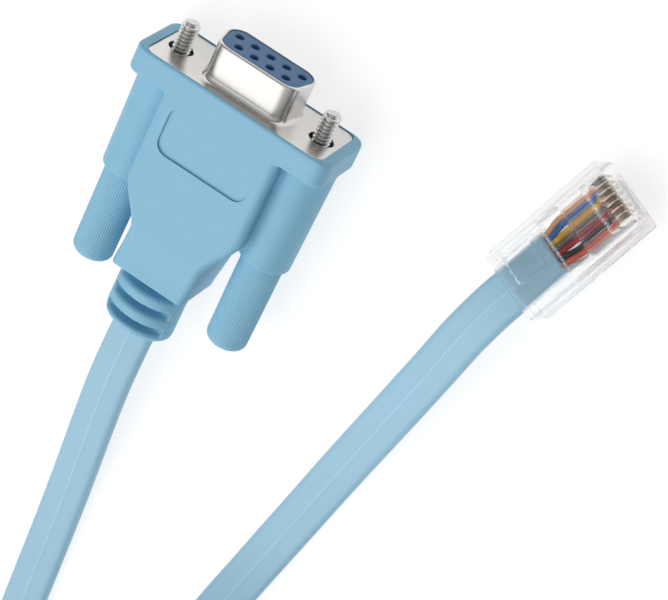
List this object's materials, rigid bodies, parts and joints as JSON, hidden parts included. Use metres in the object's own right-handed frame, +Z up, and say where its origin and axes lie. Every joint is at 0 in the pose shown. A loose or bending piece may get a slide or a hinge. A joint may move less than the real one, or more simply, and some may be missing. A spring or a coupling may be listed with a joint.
{
  "type": "rj45 console cable",
  "caption": "Flat serial console cable with a moulded D-sub socket connector on one end and a clear modular plug on the other, spare length in a tied coil.",
  "frame": {"origin": "centre of the D connector's footprint on the surface it lies on", "axes": "+Y the way the D connector mates, +X across its two thumbscrews, +Z up from the surface it lies on"},
  "size_m": [0.114, 0.2134, 0.0132],
  "materials": {
    "hood": "fine matte moulding texture, light blue",
    "knob": "matte light blue with fine lengthwise ribs",
    "cable_jacket": "satin light blue vinyl with a fine centre seam",
    "steel": "bright tin plate with a fine grain",
    "screw_steel": "bright nickel plate",
    "insulator": "satin mid blue",
    "gold": "gold plate",
    "clear_plastic": "clear polished plastic",
    "conductor": "coloured insulation, one colour on each conductor",
    "tie": "black vinyl"
  },
  "bodies": {
    "root": {"hood": "hood", "metal_shell": "steel", "insulator": "insulator", "socket_contact_1": "gold", "socket_contact_2": "gold", "socket_contact_3": "gold", "socket_contact_4": "gold", "socket_contact_5": "gold", "socket_contact_6": "gold", "socket_contact_7": "gold", "socket_contact_8": "gold", "socket_contact_9": "gold", "cable_from_hood": "cable_jacket", "cable_from_plug": "cable_jacket", "cable_coil": "cable_jacket", "coil_tie_1": "tie", "coil_tie_2": "tie", "plug_housing": "clear_plastic", "conductor_1": "conductor", "conductor_2": "conductor", "conductor_3": "conductor", "conductor_4": "conductor", "conductor_5": "conductor", "conductor_6": "conductor", "conductor_7": "conductor", "conductor_8": "conductor", "contact_blade_1": "gold", "contact_blade_2": "gold", "contact_blade_3": "gold", "contact_blade_4": "gold", "contact_blade_5": "gold", "contact_blade_6": "gold", "contact_blade_7": "gold", "contact_blade_8": "gold"},
    "thumbscrew_left": {"knob_left": "knob", "screw_left": "screw_steel"},
    "thumbscrew_right": {"knob_right": "knob", "screw_right": "screw_steel"}
  },
  "joints": [
    {"name": "thumbscrew_left_turn", "type": "hinge", "parent": "root", "child": "thumbscrew_left", "pos_m": [-0.01249, 0, 0.0066], "axis": [0, 1, 0], "continuous": true},
    {"name": "thumbscrew_right_turn", "type": "hinge", "parent": "root", "child": "thumbscrew_right", "pos_m": [0.01249, 0, 0.0066], "axis": [0, 1, 0], "continuous": true}
  ]
}
